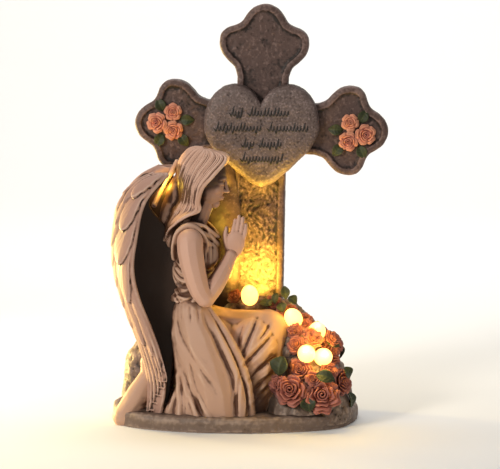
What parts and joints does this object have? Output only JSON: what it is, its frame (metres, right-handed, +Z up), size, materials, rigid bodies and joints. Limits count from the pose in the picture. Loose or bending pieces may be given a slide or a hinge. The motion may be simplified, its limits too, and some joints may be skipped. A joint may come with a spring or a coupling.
{
  "type": "angel memorial statue",
  "caption": "Kneeling angel with folded wings praying before a standing cross with budded arms, a heart on its crossing and roses, with lit lamps in a rose heap, on a low oval base.",
  "frame": {"origin": "middle of the flat underside of the base", "axes": "+Z up; -Y out of the front, where the heart and the roses are; +X the way the angel looks"},
  "size_m": [0.1877, 0.1001, 0.2803],
  "materials": {
    "painted_resin": "matt painted cast resin with darker paint in the folds",
    "lit_cap": "clear glossy cap, lit warm white from within"
  },
  "bodies": {
    "root": {"statue": "painted_resin", "lamp_1": "lit_cap", "lamp_2": "lit_cap", "lamp_3": "lit_cap", "lamp_4": "lit_cap", "lamp_5": "lit_cap"}
  },
  "joints": []
}
